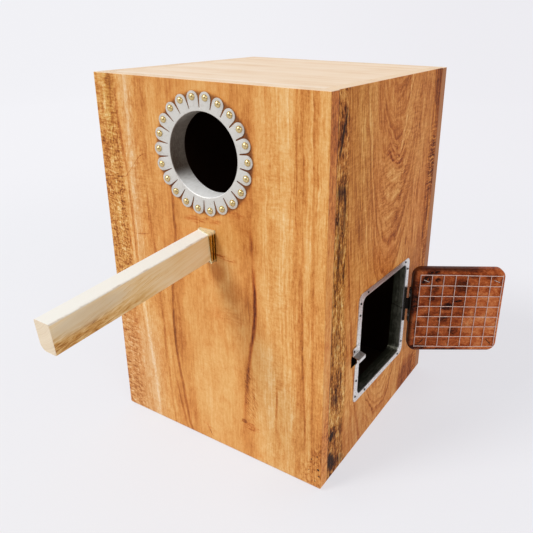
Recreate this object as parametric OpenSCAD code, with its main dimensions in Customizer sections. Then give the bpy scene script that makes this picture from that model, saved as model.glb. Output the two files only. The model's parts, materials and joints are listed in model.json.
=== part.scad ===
// Timber nest box for a large parrot: six boards, a sheet-metal collar in the entrance hole,
// a timber perch in a brass socket, and a lined inspection hatch with a hinged door.
// Millimetres. The origin is the centre of the base, +Z is up and the entrance faces -Y.

/* [Box] */
// Outside width
box_w = 375; // [300:1:450]
// Outside depth, front to back
box_d = 375; // [300:1:450]
// Outside height
box_h = 550; // [450:1:660]
// Thickness of the boards
board_t = 19; // [15:0.5:25]
// Rounding of the boards' edges
board_ease = 0.6; // [0.3:0.1:1.5]
// Rounding of the outer edges that the box stands on
base_round = 7; // [2:0.5:12]

/* [Entrance collar] */
// Clear diameter of the entrance
entrance_d = 111; // [90:1:135]
// From the top of the box down to the centre of the entrance
entrance_drop = 93; // [85:1:110]
// Centre of the entrance, to the right of the middle
entrance_x = 2.8; // [-10:0.1:10]
// Thickness of the sheet metal
sheet_t = 1; // [0.6:0.1:1.6]
// Length of the collar's tube
collar_len = 27; // [20:0.5:40]
// Spacing of the tabs that are folded out round the entrance
tab_pitch = 20.5; // [19:0.5:26]
// Width of a tab across its round tip
tab_w = 18; // [12:0.5:20]
// Reach of the tabs past the entrance's edge
tab_reach = 25.5; // [20:0.5:30]
// Unslit rim between the entrance's edge and the slits
rim_w = 4.5; // [3:0.5:8]
// Gap between two tabs where their slit starts
slit_w = 1; // [0.5:0.1:2]
// How far the ring of tabs sits to the left of the hole
tab_shift = 1.8; // [0:0.1:3]
// Diameter of the domed nail heads
nail_d = 9.5; // [6:0.5:11]
// Height of the domed nail heads
nail_h = 3.6; // [2:0.1:5]
// From a tab's tip in to the centre of its nail
nail_inset = 7.6; // [6:0.1:9]

/* [Perch] */
// Width of the perch
perch_w = 25; // [18:0.5:35]
// Height of the perch
perch_h = 38; // [25:0.5:50]
// Reach of the perch from the wall, along its axis
perch_len = 253.5; // [150:1:300]
// From the centre of the entrance down to the perch's centre
perch_drop = 120; // [105:1:180]
// Centre of the perch at the wall, to the right of the middle
perch_x = 3.5; // [-20:0.5:20]
// How far the perch droops
perch_droop = 5.25; // [0:0.05:8]
// How far the perch leans to the left
perch_lean = 1.35; // [-3:0.05:3]
// Rounding of the worn lower edge
perch_worn_r = 9; // [4:0.5:11]
// Rounding of the other edges
perch_edge_r = 1.5; // [0.5:0.1:3]
// Thickness of the socket's brass strip
socket_t = 1.2; // [0.8:0.1:2]
// Gap between the perch and its socket
socket_gap = 0.3; // [0.1:0.1:1]
// How much deeper the socket is than the perch, below it
socket_sag = 4; // [0:0.5:6]
// Reach of the socket from the wall at its right side
socket_len = 11; // [8:0.5:20]
// Angle of the socket's crooked front edge
socket_skew = 18; // [0:1:22]

/* [Hatch] */
// Clear width of the hatch, front to back
hatch_w = 160; // [130:1:195]
// Clear height of the hatch
hatch_h = 158.5; // [130:0.5:195]
// Height of the hatch's lower edge
hatch_z = 97; // [60:1:140]
// From the middle of the side to the hatch's middle, towards the front
hatch_forward = 3; // [-10:0.5:20]
// How far the hatch is cut out of true: its top leans to the rear
hatch_turn = 1.8; // [0:0.1:3]
// Rounding of the hatch's corners
hatch_r = 11; // [8:0.5:25]
// Width of the flange on the wall, beside the hatch
flange_w = 12; // [8:0.5:16]
// Height of the flange above and below the hatch
flange_end_w = 8.5; // [6:0.5:16]
// Diameter of the flat pin heads in the flange
pin_head_d = 3.6; // [2.5:0.1:5]
// Height of the flat pin heads
pin_head_h = 0.9; // [0.5:0.1:1.5]

/* [Door] */
// How far the door stands open
door_open = 124; // [0:1:150]
// Thickness of the door
door_t = 16; // [12:0.5:19]
// Gap between the door and the hatch's liner, below and above
door_gap_z = 5; // [3:0.5:8]
// How far the shut door stands proud of the flange
door_proud = 2.2; // [0:0.1:4]
// Gap at the hinge side
door_gap_hinge = 2.5; // [2:0.5:8]
// Gap at the free side
door_gap_free = 6.5; // [5:0.5:10]
// Rounding of the door's corners
door_r = 15; // [8:0.5:22]
// Rounding of the door's edges
door_edge_r = 2; // [1:0.5:4]
// Pitch of the wire mesh across the door
mesh_pitch_y = 19.2; // [12:0.1:25]
// Pitch of the wire mesh up the door
mesh_pitch_z = 18.4; // [12:0.1:25]
// How far the mesh sits off the door's middle, towards its free edge
mesh_shift = 2.6; // [0:0.1:4]
// Least timber that shows outside the mesh
mesh_margin = 5; // [4:0.5:20]
// Diameter of the mesh wire
wire_d = 1.6; // [1:0.1:2.5]
// Gap between the mesh and the door's face
mesh_stand_off = 0.8; // [0.2:0.1:3]

/* [Hinge] */
// Length of the hinge
hinge_len = 60; // [40:1:80]
// Height of the hinge's centre over the hatch's middle
hinge_rise = 6; // [-20:0.5:20]
// From the hatch's edge to the hinge pin
pivot_reach = 5; // [4:0.5:8]
// Diameter of the hinge's knuckle
knuckle_d = 4.5; // [4:0.5:8]
// Diameter of the hinge pin
hinge_pin_d = 2; // [1.5:0.5:4]
// Thickness of the hinge's leaves
leaf_t = 1.2; // [0.8:0.1:2]
// Width of the hinge's leaves
leaf_w = 14; // [10:0.5:16]

/* [Catch] */
// Width of the catch
catch_w = 20; // [12:0.5:24]
// Height of the catch's plate
catch_plate_h = 11; // [9:0.5:18]
// How far the catch's tongue stands off the wall
catch_reach = 11; // [4:0.5:18]
// Height of the catch's tongue
catch_tongue_h = 5; // [3:0.5:10]
// How far the catch's bend lies under the hatch's middle
catch_drop = 1; // [-20:0.5:20]
// Height of the notch under the catch
notch_h = 19; // [8:0.5:24]

/* [Hidden] */

// Between a fitted piece and the timber round it
seat_gap = 0.02;
// Radial running fit of the hinge pin
pin_clearance = 0.05;
// Between two knuckles of the hinge
knuckle_gap = 0.4;
knuckle_count = 3;
// Sides of a circle in the preview
smooth = 64;
fold_r = 1.6;
flange_r = 10;
slot_depth = 2.4;
slot_spare = 1;
notch_depth = 14;
notch_over = 1.5;
seam_w = 1.2;
seam_rise = 3;
seam_slope = 12;
pin_in = 20;
screw_d = 5;
screw_h = 0.5;
screw_inset = 12;
staple_d = 1.2;
staple_w = 11;
catch_fall = 3;
catch_nail_d = 4;
catch_nail_h = 1.2;
catch_nail_in = 3;

front_y = -box_d / 2;
side_x = box_w / 2;
inner_w = box_w - 2 * board_t;
inner_d = box_d - 2 * board_t;

entrance_r = entrance_d / 2;
entrance_z = box_h - entrance_drop;
perch_z = entrance_z - perch_drop;
tube_r = entrance_r + sheet_t;
tip_r = entrance_r + tab_reach;
nail_ring_r = tip_r - nail_inset;
slit_start_r = entrance_r + rim_w;
tab_count = round(2 * PI * (tip_r - tab_w / 2) / tab_pitch);

hatch_mid_z = hatch_z + hatch_h / 2;
liner_len = board_t;
liner_skin = sheet_t + seat_gap;
socket_w = perch_w + 2 * socket_gap + 2 * socket_t;
socket_h = perch_h + 2 * socket_gap + 2 * socket_t;
pivot_x = sheet_t + 0.5;
pivot_y = hatch_w / 2 + pivot_reach;
fixed_leaf_y = pivot_y - knuckle_d / 2;
slot_y0 = pivot_y - knuckle_d / 2 - 0.5;
slot_y1 = pivot_y + 5;
slot_len = hinge_len + 2 * slot_spare;
arm_x = pivot_x + knuckle_d / 2 - leaf_t;

door_rear_y = hatch_w / 2 - door_gap_hinge;
door_front_y = -hatch_w / 2 + door_gap_free;
door_w = door_rear_y - door_front_y;
door_h = hatch_h - 2 * door_gap_z;
door_outer_x = sheet_t + door_proud;
door_inner_x = door_outer_x - door_t;
door_mid_y = (door_rear_y + door_front_y) / 2;
cells_y = floor((door_w - wire_d - 2 * mesh_margin) / mesh_pitch_y);
cells_z = floor((door_h - wire_d - 2 * mesh_margin) / mesh_pitch_z);
mesh_w = mesh_pitch_y * cells_y;
mesh_h = mesh_pitch_z * cells_z;
mesh_mid_y = door_mid_y - mesh_shift;
weld_step = wire_d * 0.7;
mesh_x = door_inner_x - wire_d / 2 - mesh_stand_off;

catch_z = -catch_drop;
catch_y = -hatch_w / 2 - catch_w - 3;

// A flat outline with round corners, centred
module rounded_rect(w, h, r) {
    difference() {
        square([w, h], center = true);
        for (sx = [-1, 1], sy = [-1, 1])
            translate([sx * (w / 2 - r), sy * (h / 2 - r)])
                difference() {
                    translate([sx > 0 ? 0 : -r - 1, sy > 0 ? 0 : -r - 1])
                        square(r + 1);
                    circle(r = r, $fn = smooth);
                }
    }
}

// Turns a flat outline of Y and Z into a piece that runs along +X
module along_x(length) {
    rotate([90, 0, 90])
        linear_extrude(length)
            children();
}

// Turns a flat outline of X and Z into a piece that runs outwards from the front, along -Y
module outwards(length) {
    rotate([90, 0, 0])
        linear_extrude(length)
            children();
}

// A planed board with eased edges, from its low corner
module board(low, size) {
    translate(low + size / 2)
        intersection() {
            linear_extrude(size.z, center = true)
                rounded_rect(size.x, size.y, board_ease);
            rotate([90, 0, 0])
                linear_extrude(size.y + 1, center = true)
                    rounded_rect(size.x, size.z, board_ease);
            rotate([90, 0, 90])
                linear_extrude(size.x + 1, center = true)
                    rounded_rect(size.y, size.z, board_ease);
        }
}

// Outline of the box from one side, with its lower corners rounded
module standing_outline(w) {
    difference() {
        translate([-w / 2, 0])
            square([w, box_h]);
        for (side = [-1, 1])
            translate([side * (w / 2 - base_round), base_round])
                difference() {
                    translate([side > 0 ? 0 : -base_round - 1, -base_round - 1])
                        square(base_round + 1);
                    circle(r = base_round, $fn = smooth);
                }
    }
}

// A wall board, with the edges it stands on rounded over to match its neighbours
module wall_board(low, size) {
    intersection() {
        board(low, size);
        rotate([90, 0, 0])
            linear_extrude(box_d + 2, center = true)
                standing_outline(box_w);
        rotate([90, 0, 90])
            linear_extrude(box_w + 2, center = true)
                standing_outline(box_d);
    }
}

// Axes at the entrance's centre on the wall, with +Z outwards
module at_entrance() {
    translate([entrance_x, front_y, entrance_z])
        rotate([90, 0, 0])
            children();
}

// Axes of the perch: its centre at the wall, with -Y along it
module at_perch() {
    translate([perch_x, front_y, perch_z])
        rotate([perch_droop, 0, -perch_lean])
            children();
}

// Axes of the hatch: its middle on the wall, +X outwards and +Z up its sides
module at_hatch() {
    translate([side_x, -hatch_forward, hatch_mid_z])
        rotate([-hatch_turn, 0, 0])
            children();
}

// Swings a piece of the shut door, drawn in the hatch's axes, to where the door stands
module at_door() {
    at_hatch()
        translate([pivot_x, pivot_y, 0])
            rotate([0, 0, door_open])
                translate([-pivot_x, -pivot_y, 0])
                    children();
}

// The perch's socket and its hole, as a solid bar of the given section
module perch_bar(w, h, from, to, sag = 0) {
    translate([0, -from, -sag / 2])
        rotate([90, 0, 0])
            linear_extrude(to - from)
                square([w, h + sag], center = true);
}

module front_wall() {
    color("peru")
        difference() {
            wall_board([-box_w / 2, front_y, 0], [box_w, board_t, box_h]);
            at_entrance()
                cylinder(r = tube_r + seat_gap, h = 3 * board_t, center = true, $fn = smooth);
            at_perch()
                perch_bar(socket_w + 2 * seat_gap, socket_h + 2 * seat_gap, -2 * board_t, board_t, socket_sag);
        }
}

module back_wall() {
    color("peru")
        wall_board([-box_w / 2, box_d / 2 - board_t, 0], [box_w, board_t, box_h]);
}

module left_wall() {
    color("sienna")
        wall_board([-box_w / 2, -inner_d / 2, 0], [board_t, inner_d, box_h]);
}

// The hatch opening, the housing of the hinge and the notch under the catch
module right_wall() {
    color("sienna")
        difference() {
            wall_board([inner_w / 2, -inner_d / 2, 0], [board_t, inner_d, box_h]);
            at_hatch() {
                translate([-board_t - 1, 0, 0])
                    along_x(board_t + 2)
                        rounded_rect(hatch_w + 2 * liner_skin, hatch_h + 2 * liner_skin, hatch_r + liner_skin);
                hinge_slot();
                hinge_housing();
                catch_notch();
            }
        }
}

module floor_board() {
    color("burlywood")
        board([-inner_w / 2, -inner_d / 2, 0], [inner_w, inner_d, board_t]);
}

module roof_board() {
    color("wheat")
        board([-inner_w / 2, -inner_d / 2, box_h - board_t], [inner_w, inner_d, board_t]);
}

// Place of the nail of one tab, from the entrance's centre
function nail_place(i) = [
    nail_ring_r * cos(360 * i / tab_count) - tab_shift,
    nail_ring_r * sin(360 * i / tab_count)
];

// One tab, from the rim to its round tip
module tab_outline(reach) {
    tip_x = reach - tab_w / 2;
    root_half = slit_start_r * sin(180 / tab_count) - slit_w / 2;
    polygon([
        [slit_start_r - rim_w / 2, -root_half],
        [slit_start_r, -root_half],
        [tip_x, -tab_w / 2],
        [tip_x, tab_w / 2],
        [slit_start_r, root_half],
        [slit_start_r - rim_w / 2, root_half]
    ]);
    translate([tip_x, 0])
        circle(d = tab_w, $fn = smooth);
}

// Section of the tube and of the rim that is folded out over the timber
module collar_section() {
    difference() {
        union() {
            translate([entrance_r, -collar_len])
                square([sheet_t, collar_len + sheet_t]);
            translate([entrance_r, 0])
                square([rim_w, sheet_t]);
        }
        translate([entrance_r + fold_r, sheet_t - fold_r])
            difference() {
                translate([-fold_r - 1, 0])
                    square(fold_r + 1);
                circle(r = fold_r, $fn = smooth);
            }
    }
}

// One sheet of metal: a tube through the wall, with its front edge slit and folded out as tabs
module entrance_collar() {
    color("silver")
        at_entrance() {
            rotate_extrude($fn = smooth)
                collar_section();
            for (i = [0 : tab_count - 1]) {
                place = nail_place(i);
                rotate([0, 0, atan2(place.y, place.x)])
                    linear_extrude(sheet_t)
                        tab_outline(norm(place) + nail_inset);
            }
        }
}

// Section of a domed head, half of it
module dome_section(d, h) {
    ball_r = (d * d / 4 + h * h) / (2 * h);
    intersection() {
        translate([0, h - ball_r])
            circle(r = ball_r, $fn = smooth);
        square([d, h]);
    }
}

module collar_nails() {
    color("gold")
        at_entrance()
            for (i = [0 : tab_count - 1])
                translate([nail_place(i).x, nail_place(i).y, sheet_t])
                    rotate_extrude($fn = 32)
                        dome_section(nail_d, nail_h);
}

// Section of the perch, with one worn lower edge
module perch_section() {
    difference() {
        rounded_rect(perch_w, perch_h, perch_edge_r);
        translate([perch_worn_r - perch_w / 2, perch_worn_r - perch_h / 2])
            difference() {
                translate([-perch_worn_r - 1, -perch_worn_r - 1])
                    square(perch_worn_r + 1);
                circle(r = perch_worn_r, $fn = smooth);
            }
    }
}

module perch() {
    color("blanchedalmond")
        at_perch()
            translate([0, board_t, 0])
                outwards(perch_len + board_t)
                    perch_section();
}

// A sleeve of brass strip through the wall, its front edge cut crooked
module perch_socket() {
    color("goldenrod")
        at_perch()
            difference() {
                perch_bar(socket_w, socket_h, -board_t, socket_len, socket_sag);
                perch_bar(
                    perch_w + 2 * socket_gap, perch_h + 2 * socket_gap,
                    -board_t - 1, socket_len + 1, socket_sag
                );
                translate([socket_w / 2, -socket_len, 0])
                    rotate([0, 0, -socket_skew])
                        translate([-2 * socket_w, -2 * socket_len, -socket_h])
                            cube([3 * socket_w, 2 * socket_len, 2 * socket_h]);
            }
}

// Slot in the flange and the wall that the knuckle turns in
module hinge_slot() {
    translate([-slot_depth, slot_y0, hinge_rise - slot_len / 2])
        cube([slot_depth + sheet_t + 1, slot_y1 - slot_y0, slot_len]);
}

// Housing of the fixed leaf in the timber
module hinge_housing() {
    translate([pivot_x - leaf_w - seat_gap, fixed_leaf_y - seat_gap, hinge_rise - hinge_len / 2 - seat_gap])
        cube([leaf_w, leaf_t + 2 * seat_gap, hinge_len + 2 * seat_gap]);
}

// Notch in the flange and the wall under the catch
module catch_notch() {
    translate([-notch_depth, catch_y - notch_over, catch_z - notch_h - sheet_t])
        cube([notch_depth + sheet_t + 1, catch_w - notch_over, notch_h]);
}

// Bent sheet that lines the hatch, with its edge folded flat on the wall as a flange
module hatch_liner() {
    color("gainsboro")
        at_hatch()
            difference() {
                union() {
                    translate([-liner_len, 0, 0])
                        along_x(liner_len + sheet_t)
                            rounded_rect(hatch_w + 2 * sheet_t, hatch_h + 2 * sheet_t, hatch_r + sheet_t);
                    translate([seat_gap, 0, 0])
                        along_x(sheet_t - seat_gap)
                            rounded_rect(hatch_w + 2 * flange_w, hatch_h + 2 * flange_end_w, flange_r);
                }
                translate([-liner_len - 1, 0, 0])
                    along_x(liner_len + sheet_t + 2)
                        rounded_rect(hatch_w, hatch_h, hatch_r);
                hinge_slot();
                catch_notch();
                translate([-liner_len - 1, hatch_w / 2 - 1, seam_rise])
                    rotate([0, seam_slope, 0])
                        cube([liner_len + 2, sheet_t + 2, seam_w]);
            }
}

// Flat heads of the pins that hold the flange, near its corners
module liner_pins() {
    side_y = hatch_w / 2 + flange_w / 2;
    top_z = hatch_h / 2 + flange_end_w / 2;
    places = [
        [-side_y, -top_z + 6], [-side_y, -top_z + 33], [-side_y, top_z - 28], [-side_y, top_z - 10],
        [side_y, -top_z + 19], [side_y, top_z - 15],
        [-side_y + 33, -top_z], [side_y - 12, -top_z], [-side_y + 22, top_z], [side_y - 12, top_z]
    ];
    color("dimgray")
        at_hatch()
            for (p = places)
                translate([sheet_t, p.x, p.y])
                    rotate([0, 90, 0])
                        cylinder(d1 = pin_head_d, d2 = pin_head_d - 0.8, h = pin_head_h, $fn = 24);
}

// Height span of one of the hinge's knuckles
function knuckle_low(i) = hinge_rise - hinge_len / 2 + i * hinge_len / knuckle_count;

module knuckle(i) {
    translate([pivot_x, pivot_y, knuckle_low(i) + knuckle_gap / 2])
        cylinder(d = knuckle_d, h = hinge_len / knuckle_count - knuckle_gap, $fn = smooth);
}

module pin_hole() {
    translate([pivot_x, pivot_y, hinge_rise - hinge_len])
        cylinder(d = hinge_pin_d + 2 * pin_clearance, h = 2 * hinge_len, $fn = smooth);
}

// The leaf in the timber, with the upper and lower knuckles
module hinge_fixed_leaf() {
    color("dimgray")
        at_hatch()
            difference() {
                union() {
                    translate([pivot_x - leaf_w, fixed_leaf_y, hinge_rise - hinge_len / 2])
                        cube([leaf_w, leaf_t, hinge_len]);
                    knuckle(0);
                    knuckle(2);
                }
                translate([
                    pivot_x - knuckle_d / 2 - knuckle_gap, pivot_y - knuckle_d,
                    knuckle_low(1) - knuckle_gap / 2
                ])
                    cube([knuckle_d, 2 * knuckle_d, hinge_len / knuckle_count + knuckle_gap]);
                pin_hole();
            }
}

module hinge_pin() {
    color("silver")
        at_hatch()
            translate([pivot_x, pivot_y, hinge_rise - hinge_len / 2 - slot_spare / 2])
                cylinder(d = hinge_pin_d, h = hinge_len + slot_spare, $fn = smooth);
}

// The leaf on the door's edge, with the arm to the middle knuckle
module hinge_door_leaf() {
    color("dimgray")
        at_door()
            difference() {
                union() {
                    translate([arm_x + leaf_t - leaf_w, door_rear_y, hinge_rise - hinge_len / 2])
                        cube([leaf_w, leaf_t, hinge_len]);
                    translate([arm_x, door_rear_y, knuckle_low(1) + knuckle_gap / 2])
                        cube([leaf_t, pivot_y - door_rear_y, hinge_len / knuckle_count - knuckle_gap]);
                    knuckle(1);
                }
                pin_hole();
            }
}

module leaf_screws() {
    color("silver")
        at_door()
            for (side = [-1, 1])
                translate([
                    arm_x + leaf_t - leaf_w / 2, door_rear_y + leaf_t,
                    hinge_rise + side * (hinge_len / 2 - screw_inset)
                ])
                    rotate([-90, 0, 0])
                        cylinder(d = screw_d, h = screw_h, $fn = 32);
}

// A slab with round corners and rounded edges, centred
module rounded_slab(w, h, t, r, edge) {
    for (sx = [-1, 1], sy = [-1, 1])
        translate([sx * (w / 2 - r), sy * (h / 2 - r), 0])
            rotate_extrude($fn = smooth)
                intersection() {
                    rounded_rect(2 * r, t, edge);
                    translate([0, -t])
                        square([2 * r, 2 * t]);
                }
    rotate([90, 0, 0])
        linear_extrude(h - 2 * r, center = true)
            rounded_rect(w, t, edge);
    rotate([90, 0, 90])
        linear_extrude(w - 2 * r, center = true)
            rounded_rect(h, t, edge);
}

module hatch_door() {
    color("saddlebrown")
        at_door()
            translate([door_inner_x + door_t / 2, door_mid_y, 0])
                rotate([90, 0, 90])
                    rounded_slab(door_w, door_h, door_t, door_r, door_edge_r);
}

// Welded mesh on the door's inner face: the upright wires lie nearer the timber
module door_mesh() {
    color("silver")
        at_door()
            translate([mesh_x, mesh_mid_y, 0]) {
                for (i = [0 : cells_y])
                    translate([0, i * mesh_pitch_y - mesh_w / 2, -(mesh_h + wire_d) / 2])
                        cylinder(d = wire_d, h = mesh_h + wire_d, $fn = 8);
                for (i = [0 : cells_z])
                    translate([-weld_step, -(mesh_w + wire_d) / 2, i * mesh_pitch_z - mesh_h / 2])
                        rotate([-90, 0, 0])
                            cylinder(d = wire_d, h = mesh_w + wire_d, $fn = 8);
            }
}

// Wire staples over the mesh, one slanting across it near each corner
module mesh_staples() {
    inset_y = (mesh_w - mesh_pitch_y) / 2;
    inset_z = (mesh_h - mesh_pitch_z) / 2;
    crown_x = mesh_x - weld_step - wire_d / 2 - staple_d / 2 - seat_gap;
    leg = door_inner_x - crown_x;
    color("gray")
        at_door()
            for (sy = [-1, 1], sz = [-1, 1])
                translate([crown_x, mesh_mid_y + sy * inset_y, sz * inset_z])
                    rotate([sz > 0 ? 20 : 45 * sy, 0, 0]) {
                        translate([0, -staple_w / 2, 0])
                            rotate([-90, 0, 0])
                                cylinder(d = staple_d, h = staple_w, $fn = 8);
                        for (end = [-1, 1])
                            translate([0, end * (staple_w - staple_d) / 2, 0])
                                rotate([0, 90, 0])
                                    cylinder(d = staple_d, h = leg, $fn = 8);
                    }
}

// A strip of sheet metal bent twice: plate on the wall, shelf, and tongue over the hatch's edge
// Section of the catch's strip: plate, shelf that slopes outwards, and tongue
module catch_section() {
    end_x = sheet_t + catch_reach;
    fold_z = catch_z - catch_fall;
    polygon([
        [sheet_t, catch_z + catch_plate_h],
        [2 * sheet_t, catch_z + catch_plate_h],
        [2 * sheet_t, catch_z],
        [end_x, fold_z],
        [end_x, fold_z - catch_tongue_h],
        [end_x - sheet_t, fold_z - catch_tongue_h],
        [end_x - sheet_t, fold_z - sheet_t],
        [sheet_t, catch_z - sheet_t]
    ]);
}

module catch_bracket() {
    color("gainsboro")
        at_hatch()
            translate([0, catch_y + catch_w, 0])
                rotate([90, 0, 0])
                    linear_extrude(catch_w)
                        catch_section();
}

module catch_nail() {
    color("dimgray")
        at_hatch()
            translate([2 * sheet_t, catch_y + catch_nail_in, catch_z + catch_plate_h * 0.55])
                rotate([0, 90, 0])
                    rotate_extrude($fn = 32)
                        dome_section(catch_nail_d, catch_nail_h);
}

front_wall();
back_wall();
left_wall();
right_wall();
floor_board();
roof_board();
entrance_collar();
collar_nails();
perch();
perch_socket();
hatch_liner();
liner_pins();
hinge_fixed_leaf();
hinge_pin();
hinge_door_leaf();
leaf_screws();
hatch_door();
door_mesh();
mesh_staples();
catch_bracket();
catch_nail();
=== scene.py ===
"""Looks of the timber nest box: six boards, the metal collar in the entrance, the perch in its
brass socket, and the lined hatch with its hinged door. Metres, in the frame of the CAD. Inside
the materials, places are in millimetres and the numbers next to noise are its grain size."""

import json
import math
import random
from functools import partialmethod

import bmesh
import bpy
from mathutils import Matrix, Vector


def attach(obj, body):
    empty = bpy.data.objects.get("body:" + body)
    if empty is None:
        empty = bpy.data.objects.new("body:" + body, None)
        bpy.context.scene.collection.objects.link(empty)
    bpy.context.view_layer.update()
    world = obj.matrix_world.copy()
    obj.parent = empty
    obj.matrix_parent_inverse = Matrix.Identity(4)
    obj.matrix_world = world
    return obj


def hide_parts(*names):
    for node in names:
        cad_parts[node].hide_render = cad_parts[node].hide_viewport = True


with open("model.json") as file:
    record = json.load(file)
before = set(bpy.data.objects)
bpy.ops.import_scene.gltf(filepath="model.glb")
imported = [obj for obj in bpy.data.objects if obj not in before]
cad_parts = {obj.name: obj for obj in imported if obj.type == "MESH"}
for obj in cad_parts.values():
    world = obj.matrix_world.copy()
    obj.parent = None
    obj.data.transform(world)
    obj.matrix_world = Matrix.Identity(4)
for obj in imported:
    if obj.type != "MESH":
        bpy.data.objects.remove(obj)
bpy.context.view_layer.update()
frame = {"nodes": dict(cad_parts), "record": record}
nodes = frame["nodes"]

# ---------------------------------------------------------------- front board
# A wide planed slab of an orange hardwood, waxed. It overlaps the ends of the side boards, and
# carries the collar and the perch. Its grain runs straight up, round a few dark veins.


class Shade:
    """A socket of a material's nodes. Sums, products and powers of it add Math nodes."""

    def __init__(self, tree, socket):
        self.tree = tree
        self.socket = socket

    def node(self, kind, settings=None, output=0, **inputs):
        """Adds any node: its settings first, then the values or links of its sockets."""
        made = self.tree.nodes.new("ShaderNode" + kind)
        for name, value in (settings or {}).items():
            setattr(made, name, value)
        for name, value in inputs.items():
            key = int(name[1:]) if name[0] == "_" else name.replace("_", " ")
            if isinstance(value, Shade):
                self.tree.links.new(value.socket, made.inputs[key])
            else:
                made.inputs[key].default_value = value
        return Shade(self.tree, made.outputs[output])

    def maths(self, operation, *others, clamp=False):
        inputs = {"_" + str(i): value for i, value in enumerate((self, *others))}
        return self.node("Math", {"operation": operation, "use_clamp": clamp}, **inputs)

    __add__ = __radd__ = partialmethod(maths, "ADD")
    __mul__ = __rmul__ = partialmethod(maths, "MULTIPLY")
    __sub__ = partialmethod(maths, "SUBTRACT")
    __rsub__ = partialmethod(maths, "MULTIPLY_ADD", -1)
    __neg__ = partialmethod(maths, "MULTIPLY", -1)
    __truediv__ = partialmethod(maths, "DIVIDE")
    __pow__ = partialmethod(maths, "POWER")
    size = partialmethod(maths, "ABSOLUTE")
    larger = partialmethod(maths, "MAXIMUM")
    clamp = partialmethod(maths, "ADD", 0, clamp=True)

    def step(self, low, high):
        """0 below low and 1 above high, smooth between; low may be the greater."""
        return self.node("MapRange", {"interpolation_type": "SMOOTHSTEP"},
                         Value=self, From_Min=low, From_Max=high, To_Min=0, To_Max=1)

    def near(self, centre, reach):
        """1 at the centre, falling smoothly to 0 at the reach."""
        return (self - centre).size().step(reach, 0)

    def swing(self, amount):
        """This noise centred on 0 and spread over an amount."""
        return (self - 0.5) * amount

    def ramp(self, stops, interpolation="LINEAR"):
        """A colour ramp with (position, colour) stops, read at this value."""
        made = self.node("ValToRGB", Fac=self)
        colours = made.socket.node.color_ramp
        colours.interpolation = interpolation
        for _ in stops[2:]:
            colours.elements.new(0.5)
        for element, (position, colour) in zip(colours.elements, stops):
            element.position = position
            element.color = colour
        return made

    def curve(self, *points):
        """A value that runs smoothly through (place, height) points along this one."""
        heights = [height for _, height in points]
        low, span = points[0][0], points[-1][0] - points[0][0]
        base, rise = min(heights), (max(heights) - min(heights)) or 1
        stops = [((at - low) / span, ((height - base) / rise,) * 3 + (1,)) for at, height in points]
        return ((self - low) / span).ramp(stops, "CARDINAL") * rise + base

    def line(self, along, drift, reach, core, *path):
        """1 where this value is within core of a path and 0 past reach. The path runs through
        (along, place) points and is moved by drift."""
        return (self - along.curve(*path) - drift).size().step(reach, core)

    def tint(self, *stops):
        """A colour chosen by this value from (position, red, green, blue) stops."""
        return self.ramp([(position, rgb(*colour)) for position, *colour in stops])

    def mix(self, first, second):
        """Blends two colours by this value."""
        return self.node("Mix", {"data_type": "RGBA"}, 2, _0=self, _6=first, _7=second)

    def times(self, red, green, blue):
        """This colour with its parts multiplied."""
        return self.node("Mix", {"data_type": "RGBA", "blend_type": "MULTIPLY"}, 2, _0=1.0,
                         _6=self, _7=(red, green, blue, 1))

    def stain(self, colour, red, green, blue):
        """Blends a colour, by this value, with the same colour multiplied."""
        return self.mix(colour, colour.times(red, green, blue))

    def into(self, shader, name):
        self.tree.links.new(self.socket, shader.inputs[name])

    def coat(self, shader, roughness, relief, height, strength=0.7):
        """Gives a shader this colour, a roughness and a relief, raised by a height in metres."""
        self.into(shader, "Base Color")
        roughness.into(shader, "Roughness")
        raised = relief.node("Bump", Height=relief, Distance=height, Strength=strength)
        raised.into(shader, "Normal")


def noise(x, y, z, detail, roughness=0.5, distortion=0.0):
    """Noise round 0.5 over a place given as three values."""
    known = next(part for part in (x, y, z) if isinstance(part, Shade))
    place = known.node("CombineXYZ", X=x, Y=y, Z=z)
    return known.node("TexNoise", Vector=place, Scale=1, Detail=detail, Roughness=roughness,
                      Distortion=distortion)


def finish(name, **constant):
    """A new material, its Principled shader and the three Object coordinates in mm."""
    material = bpy.data.materials.new(name)
    material.use_nodes = True
    tree = material.node_tree
    shader = tree.nodes["Principled BSDF"]
    for key, value in constant.items():
        shader.inputs[key.replace("_", " ")].default_value = value
    coordinates = tree.nodes.new("ShaderNodeTexCoord")
    metres = Shade(tree, coordinates.outputs["Object"])
    place = metres.node("VectorMath", {"operation": "SCALE"}, Vector=metres, Scale=1000)
    parts = place.node("SeparateXYZ", Vector=place).socket.node.outputs
    return material, shader, *(Shade(tree, part) for part in parts)


def rgb(red, green, blue):
    """A colour given as it looks on a screen, 0 to 255."""
    def linear(c):
        c /= 255
        return c / 12.92 if c <= 0.04045 else ((c + 0.055) / 1.055) ** 2.4
    return (linear(red), linear(green), linear(blue), 1)


def wear(material, *names):
    """Gives nodes of the CAD a material in place of their own."""
    for name in names:
        nodes[name].data.materials.clear()
        nodes[name].data.materials.append(material)


def blot(across, along, middle_a, middle_b, reach_a, reach_b, lean=0.0):
    """1 in the middle of an oval mark and 0 outside; lean shifts it across as it rises."""
    b = (along - middle_b) / reach_b
    a = (across - middle_a - (along - middle_b) * lean) / reach_a
    return (a * a + b * b).step(1, 0.15)


def blots(across, along, *marks):
    """A sum of oval marks, each given as its strength, then its middle, reach and lean."""
    return sum(blot(across, along, *shape) * strength for strength, *shape in marks)


def hollow_dark(x, y, z):
    """1 on the faces that look into the chamber, where shade is painted; 0 outside."""
    return x.size().larger(y.size()).step(172, 168.6) * (z - 275).size().step(262, 258)


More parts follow.
